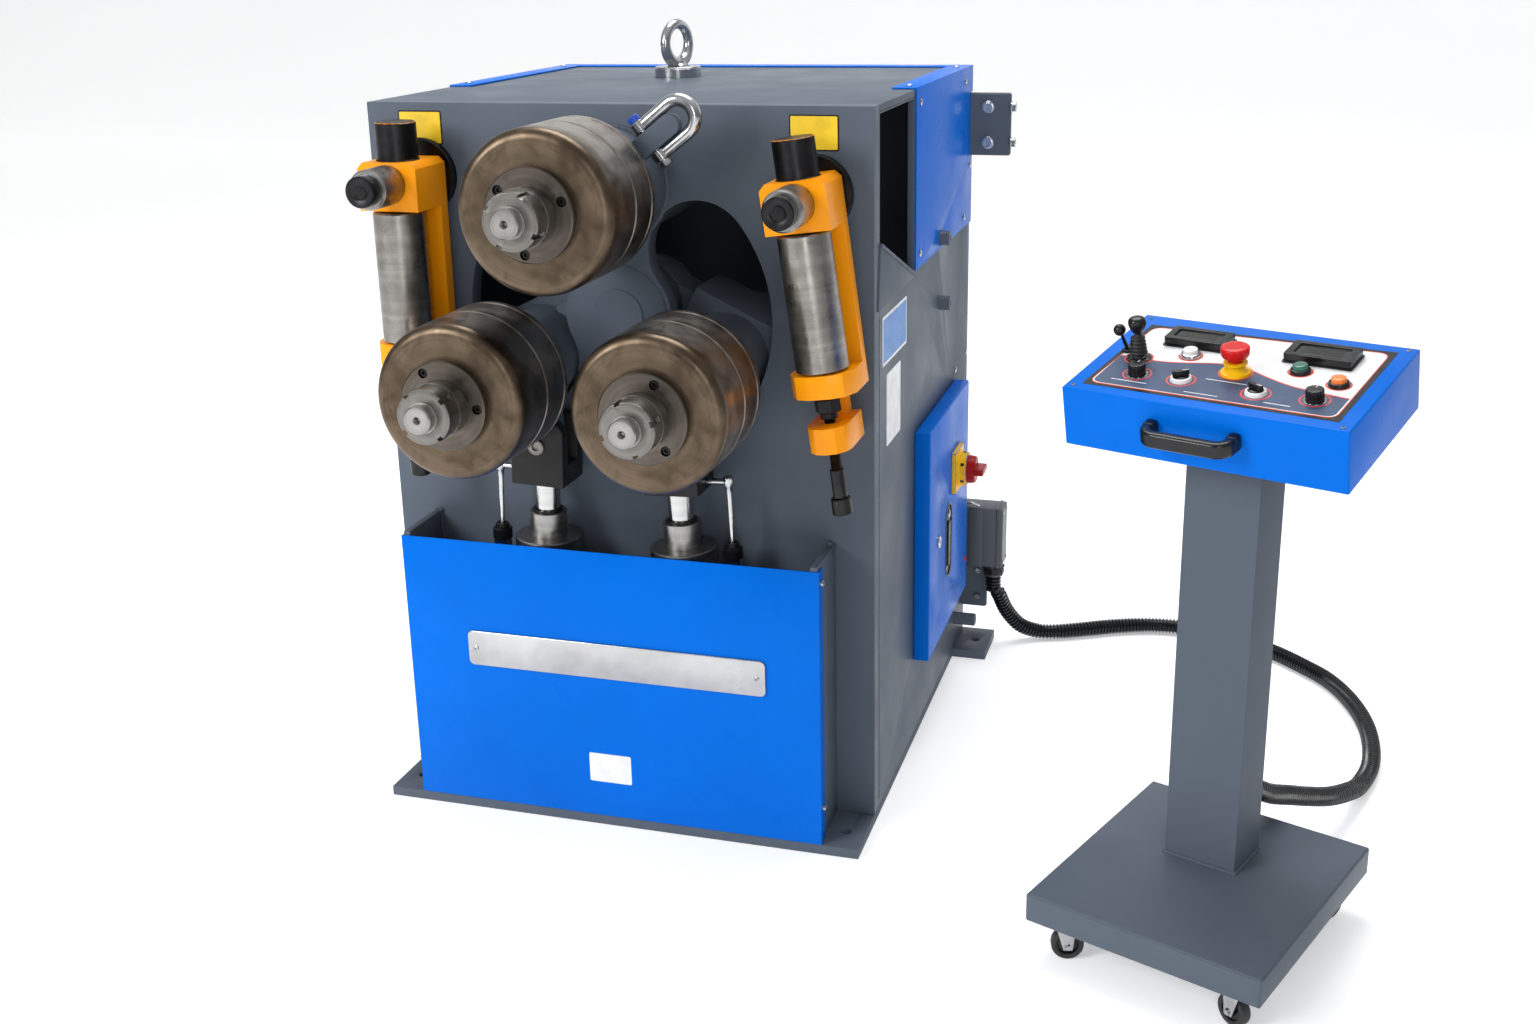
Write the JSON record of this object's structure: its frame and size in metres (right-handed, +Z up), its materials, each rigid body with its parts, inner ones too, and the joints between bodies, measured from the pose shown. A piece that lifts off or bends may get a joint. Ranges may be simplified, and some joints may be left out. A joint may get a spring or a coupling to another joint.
{
  "type": "profile bending machine",
  "caption": "Hydraulic three-roll profile bending machine with swing arms, lateral guides and a control console on castors joined by a conduit.",
  "frame": {"origin": "on the floor, under the middle of the machine's base plate", "axes": "+X to the machine's right, towards its console; +Y away from the viewer, from the rolls to the rear; +Z up"},
  "size_m": [1.8226, 1.4642, 1.3603],
  "materials": {
    "grey_paint": "satin",
    "blue_paint": "gloss",
    "orange_paint": "satin",
    "dark_housing": "matte",
    "roll_steel": "turned",
    "machined_steel": "satin",
    "chromed_steel": "polished",
    "blackened_steel": "satin",
    "black_plastic": "matte",
    "wheel_rubber": "matte",
    "red_plastic": "gloss",
    "white_plastic": "gloss",
    "green_plastic": "gloss",
    "amber_plastic": "gloss"
  },
  "bodies": {
    "root": {"base_plate": "grey_paint", "front_plate": "grey_paint", "left_side_plate": "grey_paint", "right_side_plate": "grey_paint", "top_plate": "grey_paint", "rear_panel": "blue_paint", "rear_hood": "blue_paint", "front_cover": "blue_paint", "lifting_eye": "machined_steel", "cabinet_tub": "grey_paint", "supply_connector": "dark_housing", "upper_gear_motor": "dark_housing", "hydraulic_unit": "dark_housing", "left_guide_post": "machined_steel", "right_guide_post": "machined_steel", "console_stand": "grey_paint", "console_box": "blue_paint", "console_grip": "black_plastic", "conduit": "black_plastic"},
    "shackle": {"lifting_shackle": "machined_steel"},
    "door": {"cabinet_door": "blue_paint"},
    "switch_knob": {"main_switch": "red_plastic"},
    "upper_spindle": {"upper_shaft": "machined_steel", "upper_roll": "roll_steel"},
    "left_swing": {"left_arm": "grey_paint"},
    "right_swing": {"right_arm": "grey_paint"},
    "left_spindle": {"left_shaft": "machined_steel", "left_roll": "roll_steel"},
    "right_spindle": {"right_shaft": "machined_steel", "right_roll": "roll_steel"},
    "left_rod": {"left_piston_rod": "chromed_steel", "left_clevis": "blackened_steel"},
    "right_rod": {"right_piston_rod": "chromed_steel", "right_clevis": "blackened_steel"},
    "left_barrel": {"left_cylinder": "machined_steel"},
    "right_barrel": {"right_cylinder": "machined_steel"},
    "left_bracket": {"left_guide_bracket": "orange_paint", "left_guide_screw": "blackened_steel"},
    "right_bracket": {"right_guide_bracket": "orange_paint", "right_guide_screw": "blackened_steel"},
    "left_idler": {"left_guide_roller": "machined_steel"},
    "right_idler": {"right_guide_roller": "machined_steel"},
    "fork_1": {"caster_fork_1": "machined_steel"},
    "fork_2": {"caster_fork_2": "machined_steel"},
    "fork_3": {"caster_fork_3": "machined_steel"},
    "fork_4": {"caster_fork_4": "machined_steel"},
    "wheel_1": {"caster_wheel_1": "wheel_rubber"},
    "wheel_2": {"caster_wheel_2": "wheel_rubber"},
    "wheel_3": {"caster_wheel_3": "wheel_rubber"},
    "wheel_4": {"caster_wheel_4": "wheel_rubber"},
    "stick": {"joystick": "black_plastic"},
    "lever": {"small_lever": "black_plastic"},
    "white_cap": {"white_button": "white_plastic"},
    "green_cap": {"green_button": "green_plastic"},
    "orange_cap": {"orange_button": "amber_plastic"},
    "stop_cap": {"emergency_stop": "red_plastic"},
    "left_dial": {"left_knob": "black_plastic"},
    "right_dial": {"right_knob": "black_plastic"},
    "left_switch": {"left_selector": "black_plastic"},
    "right_switch": {"right_selector": "black_plastic"}
  },
  "joints": [
    {"name": "upper_turn", "type": "hinge", "parent": "root", "child": "upper_spindle", "pos_m": [0, -0.3715, 1.119], "axis": [0, 1, 0], "continuous": true},
    {"name": "left_arm_swing", "type": "hinge", "parent": "root", "child": "left_swing", "pos_m": [0, -0.3715, 0.899], "axis": [0, 1, 0], "range_deg": [0, 34]},
    {"name": "right_arm_swing", "type": "hinge", "parent": "root", "child": "right_swing", "pos_m": [0, -0.3715, 0.899], "axis": [0, -1, 0], "range_deg": [0, 34]},
    {"name": "left_turn", "type": "hinge", "parent": "left_swing", "child": "left_spindle", "pos_m": [-0.16448, -0.3715, 0.81878], "axis": [0, 1, 0], "continuous": true},
    {"name": "right_turn", "type": "hinge", "parent": "right_swing", "child": "right_spindle", "pos_m": [0.16448, -0.3715, 0.81878], "axis": [0, 1, 0], "continuous": true},
    {"name": "left_clevis_tilt", "type": "hinge", "parent": "left_swing", "child": "left_rod", "pos_m": [-0.118, -0.4315, 0.69], "axis": [0, 1, 0], "range_deg": [-43, 0]},
    {"name": "right_clevis_tilt", "type": "hinge", "parent": "right_swing", "child": "right_rod", "pos_m": [0.118, -0.4315, 0.69], "axis": [0, -1, 0], "range_deg": [-43, 0]},
    {"name": "left_cylinder_slide", "type": "slide", "parent": "left_rod", "child": "left_barrel", "axis": [-0.0366, 0, -0.9993], "range_m": [0, 0.0995]},
    {"name": "right_cylinder_slide", "type": "slide", "parent": "right_rod", "child": "right_barrel", "axis": [0.0366, 0, -0.9993], "range_m": [0, 0.0995]},
    {"name": "left_guide_tilt", "type": "hinge", "parent": "root", "child": "left_bracket", "pos_m": [-0.346, -0.3715, 1.128], "axis": [0, 1, 0], "range_deg": [0, 8]},
    {"name": "right_guide_tilt", "type": "hinge", "parent": "root", "child": "right_bracket", "pos_m": [0.346, -0.3715, 1.1125], "axis": [0, 1, 0], "range_deg": [-4, 7.5]},
    {"name": "left_guide_turn", "type": "hinge", "parent": "left_bracket", "child": "left_idler", "pos_m": [-0.346, -0.4635, 1.128], "axis": [0, 0, 1], "continuous": true},
    {"name": "right_guide_turn", "type": "hinge", "parent": "right_bracket", "child": "right_idler", "pos_m": [0.346, -0.4635, 1.1125], "axis": [-0.1305, 0, 0.9914], "continuous": true},
    {"name": "shackle_swing", "type": "hinge", "parent": "root", "child": "shackle", "pos_m": [0.10638, -0.4665, 1.20211], "axis": [-0.6157, 0, 0.788], "range_deg": [-45, 45]},
    {"name": "door_open", "type": "hinge", "parent": "root", "child": "door", "pos_m": [0.4468, 0.3525, 0.4025], "axis": [0, 0, 1], "range_deg": [0, 90]},
    {"name": "main_switch_turn", "type": "hinge", "parent": "door", "child": "switch_knob", "pos_m": [0.4991, 0.2035, 0.485], "axis": [1, 0, 0], "range_deg": [0, 90]},
    {"name": "caster_swivel_1", "type": "hinge", "parent": "root", "child": "fork_1", "pos_m": [0.7994, -0.68547, 0], "axis": [0, 0, 1], "continuous": true},
    {"name": "caster_swivel_2", "type": "hinge", "parent": "root", "child": "fork_2", "pos_m": [1.07965, -0.7953, 0], "axis": [0, 0, 1], "continuous": true},
    {"name": "caster_swivel_3", "type": "hinge", "parent": "root", "child": "fork_3", "pos_m": [1.2132, -0.45453, 0], "axis": [0, 0, 1], "continuous": true},
    {"name": "caster_swivel_4", "type": "hinge", "parent": "root", "child": "fork_4", "pos_m": [0.93295, -0.3447, 0], "axis": [0, 0, 1], "continuous": true},
    {"name": "wheel_roll_1", "type": "hinge", "parent": "fork_1", "child": "wheel_1", "pos_m": [0.8169, -0.68124, 0.025], "axis": [-0.2351, 0.972, 0], "continuous": true},
    {"name": "wheel_roll_2", "type": "hinge", "parent": "fork_2", "child": "wheel_2", "pos_m": [1.06615, -0.78339, 0.025], "axis": [-0.6613, -0.7501, 0], "continuous": true},
    {"name": "wheel_roll_3", "type": "hinge", "parent": "fork_3", "child": "wheel_3", "pos_m": [1.20129, -0.46803, 0.025], "axis": [0.7501, -0.6613, 0], "continuous": true},
    {"name": "wheel_roll_4", "type": "hinge", "parent": "fork_4", "child": "wheel_4", "pos_m": [0.93564, -0.3625, 0.025], "axis": [0.9888, 0.1495, 0], "continuous": true},
    {"name": "joystick_tilt", "type": "hinge", "parent": "root", "child": "stick", "pos_m": [0.86969, -0.48283, 0.89793], "axis": [0.9311, -0.3649, 0], "range_deg": [-12, 12], "stiffness_Nm_per_rad": 0.5},
    {"name": "small_lever_tilt", "type": "hinge", "parent": "root", "child": "lever", "pos_m": [0.85227, -0.45602, 0.90182], "axis": [0.9311, -0.3649, 0], "range_deg": [-10, 10], "stiffness_Nm_per_rad": 0.2},
    {"name": "white_press", "type": "slide", "parent": "root", "child": "white_cap", "axis": [0.0746, 0.1904, -0.9789], "range_m": [0, 0.004], "stiffness_N_per_m": 400, "springref_m": -0.003},
    {"name": "green_press", "type": "slide", "parent": "root", "child": "green_cap", "axis": [0.0746, 0.1904, -0.9789], "range_m": [0, 0.004], "stiffness_N_per_m": 400, "springref_m": -0.003},
    {"name": "orange_press", "type": "slide", "parent": "root", "child": "orange_cap", "axis": [0.0746, 0.1904, -0.9789], "range_m": [0, 0.004], "stiffness_N_per_m": 400, "springref_m": -0.003},
    {"name": "stop_press", "type": "slide", "parent": "root", "child": "stop_cap", "axis": [0.0746, 0.1904, -0.9789], "range_m": [0, 0.004], "stiffness_N_per_m": 800, "springref_m": -0.003},
    {"name": "left_knob_turn", "type": "hinge", "parent": "root", "child": "left_dial", "pos_m": [0.87196, -0.53733, 0.8875], "axis": [-0.0746, -0.1904, 0.9789], "range_deg": [-135, 135]},
    {"name": "right_knob_turn", "type": "hinge", "parent": "root", "child": "right_dial", "pos_m": [1.11568, -0.63074, 0.88791], "axis": [-0.0746, -0.1904, 0.9789], "range_deg": [-135, 135]},
    {"name": "left_selector_turn", "type": "hinge", "parent": "root", "child": "left_switch", "pos_m": [0.93505, -0.55996, 0.88791], "axis": [-0.0746, -0.1904, 0.9789], "range_deg": [-45, 45]},
    {"name": "right_selector_turn", "type": "hinge", "parent": "root", "child": "right_switch", "pos_m": [1.03841, -0.60782, 0.88648], "axis": [-0.0746, -0.1904, 0.9789], "range_deg": [-45, 45]}
  ],
  "couplings": [
    {"joint": "left_turn", "follows": "upper_turn", "ratio": -1},
    {"joint": "right_turn", "follows": "upper_turn", "ratio": -1},
    {"joint": "left_clevis_tilt", "follows": "left_arm_swing", "ratio": -1.2592},
    {"joint": "right_clevis_tilt", "follows": "right_arm_swing", "ratio": -1.2592},
    {"joint": "left_cylinder_slide", "follows": "left_arm_swing", "m_per_rad": 0.16675},
    {"joint": "right_cylinder_slide", "follows": "right_arm_swing", "m_per_rad": 0.16675}
  ]
}
